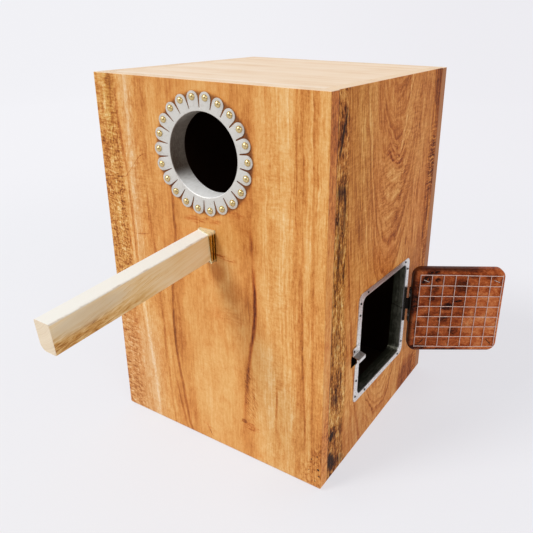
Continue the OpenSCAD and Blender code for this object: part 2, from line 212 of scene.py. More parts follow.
def sawn(across, along, cloud, middle, light):
    """The colour of end grain, from a dark tone to the middle and light ones given."""
    end_rings = noise(across, along, 4.0, 3)
    return (0.5 + end_rings.swing(0.6) + cloud.swing(0.5)).tint(
        (0.1, 206, 160, 114), (0.5, *middle), (1.0, *light))


half_box = 187.5  # from the middle of the box to its outer faces
end_z = (549.2, 549.8)  # heights between which the side of a board turns into its sawn end
entrance_x, entrance_z = 2.8, 457
front, shader, x, y, z = finish("front_timber", Roughness=0.5, Specular_IOR_Level=0.18)
wander = noise(x / 70, z / 130, y / 60, 3) - 0.5
wiggle = noise(x / 13, z / 30, y / 20, 2) - 0.5
around = x + (y + half_box)
u = around + wander * 10 + wiggle * 4.5
fibre = noise(u / 0.9, z / 14, y / 0.9, 3, 0.7)
grain = noise(u / 2.4, z / 46, y / 5, 5, 0.66)
streak = noise(u / 6.5, z / 95, y / 8, 4, 0.62)
thin = noise(u / 1.5, z / 190, y / 3, 3, 0.6)
fleck = noise(u / 2.4, z / 4.2, y / 8, 5, 0.8)
blotch = noise(u / 12, z / 24, 5.5, 4, 0.66, 0.8)
ripple = noise(u / 12 + wiggle, z / 2.6 + wander * 5, y / 16, 3, 0.62)
curl = noise(u / 13, z / 30, 8.8, 4, 0.66, 1.8)
cloud = noise(u / 34, z / 80, 3.7, 3)

upper = u.curve(
    (-190, .52), (-178, .42), (-166, .60), (-158, .42), (-149, .50), (-141, .64), (-128, .64),
    (-114, .58), (-104, .50), (-90, .56), (-70, .54), (-52, .50), (-30, .56), (0, .56), (40, .55),
    (66, .48), (80, .50), (94, .64), (112, .60), (128, .68), (142, .58), (150, .50), (156, .54),
    (163, .62), (170, .54), (178, .64), (190, .56))
lower = u.curve(
    (-190, .40), (-178, .50), (-164, .46), (-152, .54), (-142, .62), (-131, .68), (-120, .70),
    (-108, .62), (-96, .56), (-84, .60), (-70, .50), (-60, .55), (-40, .58), (-10, .60), (30, .58),
    (56, .56), (66, .52), (84, .62), (104, .64), (116, .58), (132, .64), (146, .60), (155, .52),
    (164, .60), (174, .54), (190, .52))
tone = lower + (upper - lower) * z.step(120, 360)

ridge = wander * 7 + wiggle * 4
dark = (noise(u / 1.8, z / 16, 1.3, 4, 0.72) * 2.2 - 0.45).clamp()
vein_line = around - ridge * 0.35 - z.curve(
    (0, 58), (66, 57), (100, 60), (135, 64), (170, 68), (205, 74), (240, 79), (280, 80), (335, 77),
    (400, 76), (550, 78))
hatching = noise((u + z) / 2.2, (u - z) / 15, 3.3, 4, 0.66)
vein_core = vein_line.size().step(4.6, 0.2) * (dark * 0.8 + 0.2) * z.curve(
    (0, 0), (60, .2), (90, .25), (125, .35), (160, .5), (190, .85), (212, 1.2), (285, 1.15),
    (312, .45), (332, .2), (352, .5), (375, .15), (550, .08))
thin_veins = (
    around.line(z, ridge * 0.7, 4.2, 0.4, (0, -47), (15, -52), (115, -66), (185, -71), (260, -67),
                (320, -57), (396, -55), (550, -52)) * 0.34
    * z.curve((0, .7), (90, .8), (180, 1), (250, .7), (300, .2), (350, .8), (400, .4), (550, .15))
    + around.line(z, 0, 15, 2, (0, -38), (115, -52), (185, -60), (260, -57), (550, -44))
    * z.step(330, 230) * 0.10
    + around.line(z, ridge * 0.8, 5, 0.3, (0, -84), (96, -91), (219, -95), (300, -98), (430, -107),
                  (550, -108)) * z.step(420, 260) * 0.17
    + around.line(z, ridge * 0.8, 4, 0.3, (0, -57), (90, -76), (219, -82), (300, -84), (550, -88))
    * z.step(240, 60) * 0.16
    + around.line(z, ridge * 0.6, 5, 0.3, (0, -134), (200, -136), (400, -139), (470, -147),
                  (550, -150)) * z.curve((0, .2), (200, .5), (330, .9), (530, .9), (550, .6)) * 0.20
    + around.line(z, ridge * 0.5, 3.4, 0.3, (0, 163), (200, 156), (340, 153), (550, 151))
    * z.near(170, 190).step(0, 0.6) * 0.20
    + around.line(z, ridge * 0.5, 4, 0.3, (0, 146), (300, 143), (550, 144))
    * z.step(150, 420) * 0.16
    + around.line(z, ridge * 0.4, 3, 0.3, (0, 112), (120, 114), (200, 117), (550, 118))
    * z.near(110, 60) * 0.2
    + around.line(z, ridge * 0.4, 3, 0.3, (0, 172), (550, 167)) * 0.12)
veins = (vein_core * 0.46
         + vein_line.size().step(11, 1) * ((fleck - 0.46) * 6).clamp() * z.near(140, 70) * 0.32
         + blot(around, z, 70, 110, 15, 66) * ((hatching - 0.47) * 6).clamp() * 0.26
         + (vein_line + 9).size().step(18, 2) * z.near(262, 44) * 0.14
         + (vein_line - 8).size().step(14, 2) * z.near(240, 90) * 0.06
         + thin_veins * (dark * 0.9 + 0.3))
pale_lines = (
    around.line(z, ridge * 0.5, 6, 1, (0, -118), (100, -122), (190, -131), (260, -133), (550, -127))
    * z.curve((0, .8), (200, 1), (260, .4), (400, .5), (550, .9)) * 0.15
    + around.line(z, ridge * 0.5, 5, 1, (0, -136), (300, -142), (550, -146))
    * z.near(340, 130) * 0.12
    + blots(around, z, (0.05, 46, 300, 24, 90), (0.06, 5, 110, 60, 120), (0.05, 88, 130, 30, 110)))

left_strip = around.step(-142, -154)
upper_left = left_strip * z.step(190, 280)
figure_zone = (upper_left * 1.25 + left_strip * z.step(260, 120) * 0.7
               + around.near(112, 46) * (z.near(290, 70) + z.near(430, 100)) * 0.4
               + around.near(110, 60) * z.near(150, 90) * 0.35
               + around.near(-105, 55) * z.near(400, 110) * 0.6
               + around.near(60, 60) * z.near(430, 110) * 0.35
               + around.near(-20, 60) * z.near(130, 60) * 0.4 + 0.16)
crinkle = noise(u / 7, z / 11, 6.1, 4, 0.58, 2.2)
wave = noise(u / 10 + z / 17, z / 4.4 + wiggle * 3, 1.9, 4, 0.6)
mottle = (ripple.swing(figure_zone)
          + curl.swing(around.step(-60, -150) * z.step(330, 480) * 0.4 + left_strip * 0.4 + 0.30)
          + crinkle.swing(left_strip) * z.step(190, 260) * z.step(600, 380) * 2.1
          + wave.swing(around.step(-136, -166)) * z.step(240, 150) * 2.0)
olive = z.step(430, 485) * around.line(z, ridge * 0.5, 8, 1, (0, -170), (430, -166), (480, -163),
                                       (550, -161))

torn = noise(u / 5, z / 2.0, 0.4, 5, 0.74)
strokes = noise(u / 12 + wiggle * 2, z / 3.0, 2.2, 4, 0.66)
smudge = ((strokes - 0.42) * 4.5).clamp() * blots(
    u, z, (1, -18, 367, 24, 7, 0.4), (1, 14, 370, 20, 6), (0.7, 48, 385, 20, 6),
    (1.7, 32, 321, 22, 4.5, -2.6), (0.4, 38, 234, 38, 15), (1.3, 70, 60, 17, 8),
    (0.5, -12, 26, 14, 10, -0.8))
knot = (blot(around, z, 57, 66, 7, 4.4) + torn.swing(2.8)).step(0.32, 0.68) * 0.8
scratch = (
    z.line(around, 0, 1.2, 0.2, (-187, 403), (-150, 407), (-140, 412), (-116, 438), (-90, 450),
           (190, 460)) * around.step(-96, -112)
    + z.line(around, 0, 1.1, 0.2, (-150, 322), (-120, 325), (-98, 330), (190, 330))
    * around.near(-122, 28)
    + (around + 10 + (z - 18) * 0.55).size().step(1.3, 0.2) * z.near(18, 13) * 1.6)
decay = noise(u / 5, z / 7, 7.1, 5, 0.74)
rot_edge = around - z.curve((0, 138), (40, 152), (80, 176), (130, 192), (550, 230))
rot = rot_edge.step(0, 18) * ((decay - 0.46) * 5).clamp()
holes = blots(around, z, (1, 183, 36, 2.2, 2.0), (1, 184.5, 25, 1.5, 1.5), (1, 172, 50, 1.2, 1.2),
              (1, 178, 14, 1.1, 1.1), (1, 168, 30, 1.0, 1.0), (1, 181, 58, 1.0, 1.0))

edge_strip = around.step(187.6, 188.4)
from_entrance = ((x - entrance_x) ** 2 + (z - entrance_z) ** 2) ** 0.5
# Darker wood round the collar: dirt, and painted shade under and between the tabs
collar_dirt_and_shade = from_entrance.step(84, 76) * (torn + 0.2)
strip_mottle = noise(y / 3.5, z / 12, 3.0, 5, 0.72)
strip_top = z.step(320, 480)
busy = around.curve((-190, 1.7), (-150, 1.7), (-100, 1.3), (-60, .8), (60, .8), (85, 1.0),
                    (110, 1.25), (190, 1.3))
tone = (tone + cloud.swing(0.26) + streak.swing(0.24) + blotch.swing(0.30)
        + (grain.swing(0.34) + fibre.swing(0.22) + fleck.swing(0.42)) * busy
        + thin.swing(around.step(84, 110) * 0.30 + 0.14)
        + mottle * (around.step(-90, -140) * 0.42 + around.step(80, 120) * 0.3 + 0.40)
        - veins + pale_lines - smudge * 0.20 - scratch * 0.22 - rot * 0.30 - knot * 0.30
        - collar_dirt_and_shade * 0.3 - olive * 0.15
        - edge_strip * (strip_top * 0.24 - 0.10 + (0.55 - strip_mottle) * (0.5 + strip_top * 0.5)))
tone = tone - left_strip * (tone - 0.56) * 0.2 + left_strip * z.step(430, 500) * 0.09
colour = tone.tint((0.0, 84, 36, 10), (0.2, 142, 76, 26), (0.38, 190, 114, 46),
                   (0.54, 218, 148, 72), (0.7, 232, 176, 102), (1.0, 250, 220, 164))
warm = (noise(u / 22, z / 90, 9.2, 2) - 0.35).step(0, 0.5) * 0.6
colour = (warm * tone.step(0.95, 0.4)).stain(colour, 1.0, 0.88, 0.80)
umber = upper_left * (crinkle.step(0.62, 0.40) * 0.7 + 0.2) + olive * 0.8
colour = umber.clamp().stain(colour, 0.88, 0.90, 0.70)
mauve = (around.step(-84, -130) * z.step(240, 120) * 0.9
         + around.near(-128, 17) * z.step(240, 330) * 0.7)
colour = mauve.clamp().stain(colour, 0.95, 1.0, 1.28)
colour = (vein_core * 0.8 + smudge * 0.45).clamp().stain(colour, 1.05, 0.70, 0.60)
# Painted shadow of the socket and the perch, below and to the right of the socket
painted_socket_shadow = blots(x, z, (0.75, 20, 296, 16, 17), (0.6, 42, 273, 24, 22))
colour = painted_socket_shadow.clamp().stain(colour, 0.78, 0.62, 0.40)
# A dark ring just past the tab tips: painted shade where the tabs stand off the wood, with some
# dirt
colour = (from_entrance.step(81.5, 77) * 0.55).mix(colour, rgb(84, 46, 26))
colour = edge_strip.mix(colour.times(0.965, 0.985, 1.06), colour.times(1.04, 0.88, 0.72))
seam = ((y + 168.5).size().step(1.8, 0.5) * 0.9
        + (y + 176).step(2, 8) * strip_mottle.step(0.56, 0.42) * 0.3)
colour = (x.step(187.2, 187.45) * seam).clamp().mix(colour, rgb(70, 38, 18))
colour = (holes * 2.5).clamp().mix(colour, rgb(46, 22, 10))
end_grain = sawn(x / 1.6, y / 0.9, cloud, (240, 212, 178), (252, 238, 218))
colour = z.step(*end_z).mix(colour, end_grain)
# Painted shade on the faces inside the chamber
colour = hollow_dark(x, y, z).mix(colour, rgb(58, 34, 20))
relief = (fibre * 0.5 + grain * 0.3 + fleck * 0.2 + ripple * figure_zone * 0.5 - holes * 6
          - scratch * 0.8 - veins)
colour.coat(shader, 0.56 - tone * 0.12 + fibre.swing(0.2), relief, 0.00022)
wear(front, "front_wall")

# ---------------------------------------------------------------- right side board
# The board that carries the hatch. It was sawn flat, so the growth rings show as nested arches
# that open upwards, between a knotty edge at the front and a rippled dark band at the rear.
side, shader, x, y, z = finish("side_timber", Roughness=0.5, Specular_IOR_Level=0.06)
wander = noise(y / 60, z / 120, x / 60, 3) - 0.5
flow = noise(y / 24, z / 50, 5.0, 3) - 0.5
wiggle = noise(y / 11, z / 22, 6.5, 2) - 0.5
v = y + wander * 8
off_middle = (v - 6 - (z - 270) * 0.012).size()
arch = z + flow * 34 + wiggle * 12 - off_middle.curve(
    (0, 0), (20, 8), (40, 32), (60, 80), (82, 168), (102, 262), (117, 345), (142, 520), (180, 800),
    (220, 1100))
v = v + wiggle * 3.5
fibre = noise(v / 0.9, z / 14, x / 0.9, 3, 0.7)
rings = noise(arch / 13, v / 120, 2.0, 5, 0.70)
rays = noise(v / 4.2 + arch / 60, z / 110, 4.0, 5, 0.66)
fleck = noise(v / 3.4, z / 5, x / 8, 5, 0.78)
blotch = noise(v / 12, z / 28, 7.5, 4, 0.66, 0.8)
ripple = noise(v / 22 + wander * 4, z / 3.4 + flow * 5, 8.0, 4, 0.64)
cloud = noise(v / 45, z / 110, 6.0, 3)
heart = off_middle.step(110, 30)
tone = (0.49 + z.step(330, 60) * 0.105 + y.near(-92, 40) * z.step(230, 330) * 0.05
        + cloud.swing(0.34) + rings.swing(0.60 + heart * 0.34) + rays.swing(0.80 - heart * 0.30)
        + fibre.swing(0.2) + fleck.swing(0.55) + blotch.swing(0.42))


def arches(*marks):
    """A sum of growth rings, each given as the place and reach of its arch, the distances from
    the middle where it ends and where it is full, and its strength."""
    return sum(arch.near(at, reach) * off_middle.step(end, full) * strength
               for at, reach, end, full, strength in marks)


broken = (noise(v / 7, arch / 5, 3.3, 5, 0.7) * 2.6 - 0.75).clamp()
arcs = (arches((432, 6, 42, 20, .46), (444, 4, 38, 16, .36), (456, 4, 44, 20, .28),
               (470, 4, 44, 20, .24), (486, 4, 44, 20, .2), (530, 12, 46, 18, .34),
               (268, 8, 60, 30, .26), (290, 5, 65, 30, .14), (318, 8, 55, 34, .22),
               (20, 8, 80, 45, .34), (36, 5, 80, 45, .18), (52, 5, 80, 45, .14))
        + arch.near(-210, 11) * z.step(360, 300) * 0.2
        + arch.near(90, 7) * off_middle.near(66, 40) * 0.18
        + arch.near(190, 6) * off_middle.near(80, 40) * 0.15) * broken
pale_arcs = (arches((412, 12, 46, 18, .12), (384, 9, 50, 24, .1))
             + (arch.near(-160, 12) + arch.near(-290, 16)) * 0.10) * ripple * 1.6
reddish = (blot(y, z, -5, 450, 46, 62) * arcs.step(0.02, 0.16) * 0.9
           + blots(y, z, (0.35, -8, 300, 44, 46), (0.35, 120, 300, 60, 150)))
flank = off_middle.near(92, 42) * y.step(0, -40) * z.step(250, 340)
flank_lines = noise(arch / 34, v / 300, 12.0, 4, 0.66).swing(flank * 0.95)
sway = wander * 6 + wiggle * 4
long_veins = (
    y.line(z, wander * 4, 5, 0.4, (0, -66), (10, -70), (90, -91), (160, -105), (340, -131),
           (420, -137), (550, -134)) * z.step(400, 300) * 0.26
    - y.line(z, wander * 5, 4, 0.3, (0, 60), (330, 84), (480, 115), (550, 128)) * 0.14
    - y.line(z, wander * 5, 3, 0.3, (0, 80), (330, 104), (480, 128), (550, 138))
    * z.near(380, 90) * 0.1
    + y.line(z, sway, 6, 0.4, (0, -44), (300, -62), (400, -80), (470, -96), (550, -112))
    * z.near(430, 130) * 0.20
    + y.line(z, sway, 5, 0.4, (0, -20), (300, -38), (400, -56), (470, -74), (550, -92))
    * z.near(400, 110) * 0.14) * (broken * 0.8 + 0.2)
figure = ripple.swing(blots(y, z, (0.60, 0, 400, 64, 90), (0.30, 60, 440, 60, 100))
                      + y.near(157, 27) * z.near(395, 95) * 3.0
                      + y.near(157, 26) * z.step(330, 250) + 0.30)

burl_edge = y - wander * 12 - wiggle * 9 - z.curve(
    (0, -118), (60, -127), (140, -125), (260, -136), (420, -140), (550, -143))
burl = burl_edge.step(8, -5) * (y + 168.5).step(-0.6, 0.4)
speck = noise(y / 3.4, z / 9, 1.0, 4, 0.72)
swirl = noise(y / 6, z / 46, 4.6, 4, 0.64, 0.7)
grit = noise(y / 3.4, z / 7, 2.6, 4, 0.7)
dots = noise(y / 2.6, z / 3.6, 8.2, 3, 0.6)
knots = blots(
    y, z, (1.5, -156, 500, 4.4, 34, 0.30), (0.8, -157, 430, 13, 12), (0.65, -146, 402, 5, 34),
    (0.5, -161, 380, 4, 40), (0.55, -152, 346, 9, 16, 0.4), (0.2, -150, 280, 8, 22),
    (0.6, -152, 133, 10, 14, -0.4), (0.3, -154, 225, 8, 30), (2.0, -160, 76, 8, 9),
    (2.0, -160, 32, 12, 22, -0.3), (0.7, -169, 225, 3.5, 6), (0.5, -136, 18, 16, 12),
    (0.5, -112, 10, 18, 8))
knots = (knots * (grit * 3.4 - 1.0)
         + dots.step(0.62, 0.72) * z.near(230, 200).step(0, 0.3) * 0.55).clamp()
halo = blots(y, z, (0.65, -155, 420, 16, 40), (0.45, -152, 345, 14, 70), (0.6, -158, 76, 18, 22),
             (0.6, -158, 32, 24, 40), (0.45, -150, 132, 18, 30), (0.4, -156, 500, 14, 44))
rear_lines = noise(v / 3.4, z / 90, 14.0, 4, 0.66)
rear_dark = (y.step(128, 150) * y.step(182, 166) * (
    rear_lines.swing(1.6) + 0.10
    + (z.step(440, 540) * 0.10 + z.near(395, 95) * 0.12) * (grit * 2.4 - 0.3).clamp())
    + blot(y, z, 118, 20, 52, 46) * 0.34 * (speck * 2.2 - 0.3).clamp()
    + blot(y, z, 150, 540, 20, 60) * 0.08)
cream = (y.line(z, wander * 5, 3.4, 0.4, (0, 20), (420, 18), (450, 22), (480, 32), (550, 46))
         * z.step(425, 455) * 0.30
         + y.line(z, wander * 5, 7, 1, (0, 62), (300, 74), (480, 98), (550, 108))
         * z.near(400, 110) * 0.12
         + y.line(z, wander * 5, 6, 1, (0, 92), (300, 100), (480, 118), (550, 126))
         * z.near(360, 110) * 0.12) * (rays * 1.6 - 0.2).clamp()
tone = (tone - arcs + pale_arcs + flank_lines - long_veins + figure - rear_dark + cream
        + burl * (speck.swing(1.35) + swirl.swing(1.85) + grit.swing(1.3) - halo * 0.36 - 0.035))
colour = tone.tint((0.0, 80, 30, 8), (0.2, 138, 66, 22), (0.38, 186, 103, 42),
                   (0.54, 212, 133, 62), (0.72, 231, 164, 90), (1.0, 250, 208, 142))
golden = tone.tint((0.0, 54, 25, 8), (0.2, 112, 58, 18), (0.4, 172, 99, 36),
                   (0.58, 206, 136, 58), (0.78, 228, 174, 96), (1.0, 246, 214, 150))
colour = (burl * z.step(470, 400) * 0.9
          + y.step(-40, -110) * z.step(220, 430) * 0.55).clamp().mix(colour, golden)
colour = (reddish * (1 - burl)).clamp().stain(colour, 1.0, 0.86, 0.84)
colour = (y.step(126, 150) * 0.9).stain(colour, 1.0, 0.94, 0.68).times(1.01, 1.06, 1.12)
bleached = (y.near(-110, 34) * z.near(190, 110) * 1.2 + y.near(-86, 56) * z.step(260, 350) * 0.8
            + y.near(85, 60) * z.step(250, 300) * 0.4)
colour = bleached.clamp().stain(colour, 1.06, 1.14, 1.26)
tanned = z.step(100, 40) * (y - 20).size().step(20, 110) * 0.9 + z.step(60, 10) * 0.3
colour = tanned.clamp().stain(colour, 0.86, 0.80, 0.78)
colour = (knots * burl).mix(colour, rgb(50, 25, 11))
end_grain = sawn(x / 0.9, y / 1.6, cloud, (240, 212, 178), (252, 238, 218))
colour = (z.step(*end_z) * x.step(186.8, 185.5)).mix(colour, end_grain)
# Painted shade: the cut faces of the hatch opening in the side board are nearly black
painted_shade_in_opening = (x.step(187.3, 187.0) * x.step(168.7, 169.2) * y.size().step(152, 148)
       * z.near(275, 250).step(0, 0.05))
colour = painted_shade_in_opening.mix(colour, rgb(24, 14, 9))
# Painted shade on the faces inside the chamber
colour = hollow_dark(x, y, z).mix(colour, rgb(52, 30, 18))
relief = fibre * 0.5 + rings * 0.3 + figure * 1.2 - arcs * 0.7 - burl * knots * 0.6
colour.coat(shader, 0.58 - tone * 0.12 + fibre.swing(0.2), relief, 0.00022)
wear(side, "right_wall")

# ---------------------------------------------------------------- left and back boards
# The two boards that don't carry fittings: the same planed hardwood, with a straight, calmer
# grain, butted behind the front board and across the rear.
plain, shader, x, y, z = finish("plain_timber", Roughness=0.5, Specular_IOR_Level=0.15)
wander = noise(x / 60, y / 60, z / 150, 3) - 0.5
w = x + y * 1.02 + wander * 14
fibre = noise(w / 0.8, z / 38, 1.0, 4, 0.65)
streak = noise(w / 4.6, z / 240, 2.0, 5, 0.62)
band = noise(w / 24, z / 420, 3.0, 3)
ripple = noise(w / 20, z / 3.6, 4.0, 2)
cloud = noise(w / 60, z / 140, 5.0, 3)
knot = ((w - 60) ** 2 / 30 + (z - 300) ** 2 / 420 + 0.02) ** 0.5
knot_ring = noise(knot * 1.3, 0.3, 0.0, 2) * knot.step(9, 2)
tone = (0.50 + band.swing(0.55) + streak.swing(0.6) + fibre.swing(0.34)
        + ripple.swing(cloud.step(0.5, 0.65) * 0.35) + cloud.swing(0.24)
        - knot.step(1.5, 0.4) * 0.5 - (knot_ring - 0.4) * knot.step(9, 3) * 0.5
        - (band - 0.62).step(0, 0.05) * 0.12)
colour = tone.tint((0.0, 76, 36, 15), (0.2, 134, 72, 32), (0.4, 186, 114, 58),
                   (0.56, 208, 138, 78), (0.74, 224, 164, 104), (1.0, 240, 200, 148))
colour = x.size().step(187.0, 187.4).stain(colour, 0.74, 0.66, 0.50)
end_grain = sawn(x / 1.2, y / 1.2, cloud, (238, 208, 172), (250, 234, 212))
colour = z.step(*end_z).mix(colour, end_grain)
# Painted shade on the faces inside the chamber
colour = hollow_dark(x, y, z).mix(colour, rgb(56, 33, 20))
colour.coat(shader, 0.52 - tone * 0.16 + fibre.swing(0.2),
            fibre * 0.5 + streak * 0.35 - knot.step(1.5, 0.4) * 0.6, 0.00022)
wear(plain, "left_wall", "back_wall")

# ---------------------------------------------------------------- roof and floor boards
# Both are let in between the walls. They are planed and left raw, so they are paler, and their
# grain runs from side to side.
raw, shader, x, y, z = finish("roof_timber", Roughness=0.6, Specular_IOR_Level=0.2)
wander = noise(x / 160, y / 50, z / 50, 3) - 0.5
w = y + wander * 16
fibre = noise(x / 42, w / 0.8, z / 0.8, 4, 0.65)
streak = noise(x / 260, w / 5.5, z / 6, 5, 0.62)
band = noise(x / 420, w / 30, z / 30, 3)
cloud = noise(x / 90, w / 60, 1.0, 3)
tone = 0.52 + band.swing(0.5) + streak.swing(0.5) + fibre.swing(0.3) + cloud.swing(0.4)
colour = tone.tint((0.0, 206, 160, 118), (0.3, 232, 198, 160), (0.5, 242, 216, 186),
                   (0.75, 248, 228, 206), (1.0, 252, 238, 222))
colour = (y.step(-150, -165) * 0.35).mix(colour, rgb(252, 240, 226))
# Painted shade on the faces inside the chamber
colour = hollow_dark(x, y, z).mix(colour, rgb(70, 46, 30))
colour.coat(shader, 0.64 - tone * 0.12 + fibre.swing(0.2), fibre * 0.6 + streak * 0.4, 0.00022)
wear(raw, "roof_board", "floor_board")

# ---------------------------------------------------------------- entrance collar
# One sheet of dull galvanised steel: a tube through the front board, folded over a small radius
# at its mouth, with the front edge slit into tabs that spring a little off the timber.


def on_front(x, z):
    """Moves what is drawn round the origin to a place, in mm, on the front board."""
    return Matrix.Translation((x / 1000, -half_box / 1000, z / 1000))


def revolve(form, points, steps, closed=False):
    """Spins a line of (radius, 0, height) points round the Z axis."""
    line = [form.verts.new(point) for point in points]
    for first, second in zip(line, line[1:] + line[:1] if closed else line[1:]):
        form.edges.new((first, second))
    bmesh.ops.spin(form, geom=form.verts[:] + form.edges[:], cent=(0, 0, 0), axis=(0, 0, 1),
                   angle=2 * math.pi, steps=steps, use_merge=True)
    bmesh.ops.remove_doubles(form, verts=form.verts, dist=1e-6)


def slab(form, points, thickness):
    """Extrudes a flat outline by a vector and gives the faces of its far side."""
    base = form.faces.new([form.verts.new(point) for point in points])
    grown = bmesh.ops.extrude_face_region(form, geom=[base])["geom"]
    bmesh.ops.translate(form, vec=thickness,
                        verts=[part for part in grown if isinstance(part, bmesh.types.BMVert)])
    return [part for part in grown if isinstance(part, bmesh.types.BMFace)]


def ease(form, faces, width, segments=2):
    """Rounds the border edges of these faces."""
    edges = {edge for part in faces for edge in part.edges
             if sum(other in faces for other in edge.link_faces) == 1}
    bmesh.ops.bevel(form, geom=list(edges), offset=width, segments=segments, profile=0.5,
                    affect="EDGES", material=-1)


def join(form, part):
    """Adds a finished part to a form."""
    mesh = bpy.data.meshes.new("part")
    part.to_mesh(mesh)
    part.free()
    form.from_mesh(mesh)
    bpy.data.meshes.remove(mesh)


def solid(form, name, material, smooth):
    """Makes an object of a form; edges that turn less than smooth, in degrees, are shaded over."""
    bmesh.ops.recalc_face_normals(form, faces=form.faces)
    for part in form.faces:
        part.smooth = True
    for edge in form.edges:
        edge.smooth = edge.calc_face_angle(0) < math.radians(smooth)
    mesh = bpy.data.meshes.new(name)
    form.to_mesh(mesh)
    form.free()
    mesh.materials.append(material)
    piece = bpy.data.objects.new(name, mesh)
    bpy.context.scene.collection.objects.link(piece)
    return piece


def deliver(form, placed, name, material, body, replaced, smooth=35):
    """Moves a form into place as a piece of the object, instead of a node of the CAD."""
    bmesh.ops.transform(form, matrix=placed, verts=form.verts)
    piece = solid(form, name, material, smooth)
    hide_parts(replaced)
    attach(piece, body)


zinc, shader, x, y, z = finish("galvanised_sheet", Metallic=0.8, Specular_IOR_Level=0.5)
from_entrance = ((x - entrance_x) ** 2 + (z - entrance_z) ** 2) ** 0.5
brushed = noise(x / 5, y / 0.25, z / 5, 3)
grain = noise(x / 0.5, y / 0.5, z / 0.5, 2)
spangle = noise(x / 6, y / 6, z / 6, 4, 0.65)
smear = noise(x / 2.2, y / 9, z / 2.2, 3)
bore = from_entrance.step(56.4, 55.9)
grime = (spangle - 0.52).step(0, 0.18) * 0.35 + bore * (smear - 0.4) * 0.5
tone = 0.62 + spangle.swing(0.22) + grain.swing(0.16) + bore * brushed.swing(0.5) - grime * 0.4
colour = tone.tint((0.1, 128, 120, 110), (0.45, 204, 199, 190), (0.75, 230, 228, 221),
                   (1.0, 246, 245, 240))
tip = (from_entrance - 69).step(0, 8) * (spangle - 0.35).step(0, 0.3) * 0.35
colour = tip.mix(colour, rgb(176, 160, 140))
# In the tube the brushed tone is painted lighter low down, as light, and darker deeper in, as shade
low_in_bore = (z - entrance_z) / -110 + 0.5
brushed = brushed + (low_in_bore - 0.55) * 0.34 - (y + half_box).step(4, 26) * 0.14
colour = (bore * 0.8).mix(colour, (0.5 + brushed.swing(1.1) + smear.swing(0.5)).tint(
    (0.1, 116, 102, 88), (0.5, 196, 184, 170), (1.0, 252, 250, 246)))
# Painted shade on the left inside wall of the tube
painted_left_bore_shade = bore * (entrance_x - x).step(20, 50) * z.step(412, 430) * (0.70 + brushed.swing(1.2))
colour = (painted_left_bore_shade * 1.25).clamp().mix(colour, rgb(80, 62, 48))
# Painted light on the bottom inside the tube, where light falls
painted_bore_light = bore * z.step(434, 410) * (0.95 + smear.swing(0.7))
colour = painted_bore_light.clamp().mix(colour, rgb(254, 254, 252))
colour.coat(shader, 0.40 + spangle.swing(0.2) + smear.swing(0.14),
            grain * 0.3 + spangle * 0.5 + brushed * bore * 0.6, 0.00008, 0.6)
(0.8 - bore * (0.5 + z.step(434, 410) * 0.3)).into(shader, "Metallic")

mouth_r, tube_length, sheet, fold_r, rim_w = 0.0555, 0.027, 0.001, 0.0016, 0.0045
tab_count, tab_w, slit_w = 22, 0.018, 0.001
nail_ring, nail_shift, nail_inset = 0.0734, 0.0018, 0.0076
profile = [(mouth_r, 0, -tube_length), (mouth_r, 0, sheet - fold_r)]
for step in range(1, 6):
    angle = math.radians(90 * step / 6)
    profile.append((mouth_r + fold_r - fold_r * math.cos(angle), 0,
                    sheet - fold_r + fold_r * math.sin(angle)))
root_r, rim_edge = mouth_r + rim_w, 0.0002
profile += [(mouth_r + fold_r, 0, sheet), (root_r - rim_edge, 0, sheet),
            (root_r, 0, sheet - rim_edge), (root_r, 0, 0), (mouth_r + sheet, 0, 0),
            (mouth_r + sheet, 0, -tube_length)]
form = bmesh.new()
revolve(form, profile, 160, closed=True)

random.seed(22)
nail_places = []
for i in range(tab_count):
    turn = 2 * math.pi * i / tab_count
    nail = Vector((nail_ring * math.cos(turn) - nail_shift, nail_ring * math.sin(turn), 0))
    nail_places.append(nail)
    root_half = root_r * math.sin(math.pi / tab_count) - slit_w / 2
    tip_x = nail.length + nail_inset - tab_w / 2
    points = [(root_r - 0.002, -root_half, 0), (root_r, -root_half, 0)]
    for step in range(17):
        angle = math.radians(-90 + 180 * step / 16)
        points.append((tip_x + tab_w / 2 * math.cos(angle), tab_w / 2 * math.sin(angle), 0))
    points += [(root_r, root_half, 0), (root_r - 0.002, root_half, 0)]
    tab = bmesh.new()
    ease(tab, slab(tab, points, (0, 0, sheet - 0.00002)), 0.0003)
    lift = random.uniform(0.004, 0.022)
    roll = random.uniform(-0.012, 0.012)
    for vert in tab.verts:
        run = max(0.0, vert.co.x - root_r)
        raised = (run * lift + vert.co.y * roll) * min(1.0, run / 0.01)
        vert.co.z = max(vert.co.z + raised + 0.00003, 0.00003)
    bmesh.ops.rotate(tab, verts=tab.verts, cent=(0, 0, 0),
                     matrix=Matrix.Rotation(math.atan2(nail.y, nail.x), 3, "Z"))
    join(form, tab)
at_entrance = on_front(entrance_x, entrance_z) @ Matrix.Rotation(math.radians(90), 4, "X")
deliver(form, at_entrance, "collar_sheet", zinc, "box", "entrance_collar")

# ---------------------------------------------------------------- collar nails
# Brass-plated upholstery nails, one near the tip of each tab, driven a little unevenly.
gilt, shader, x, y, z = finish("nail_brass", Metallic=1.0)
patina = noise(x / 3, y / 3, z / 3, 4, 0.65)
scuff = noise(x / 0.7, y / 0.7, z / 0.7, 2)
rim = (y + 190.2).step(-0.6, 1.2)
tone = 0.76 + patina.swing(0.5) + scuff.swing(0.14) - rim * 0.16
colour = tone.tint((0.1, 84, 60, 26), (0.4, 164, 132, 72), (0.7, 208, 182, 124),
                   (1.0, 240, 226, 184))
colour.coat(shader, 0.25 + patina * 0.14 + rim * 0.1, scuff * 0.4 + patina * 0.6, 0.00008, 0.5)

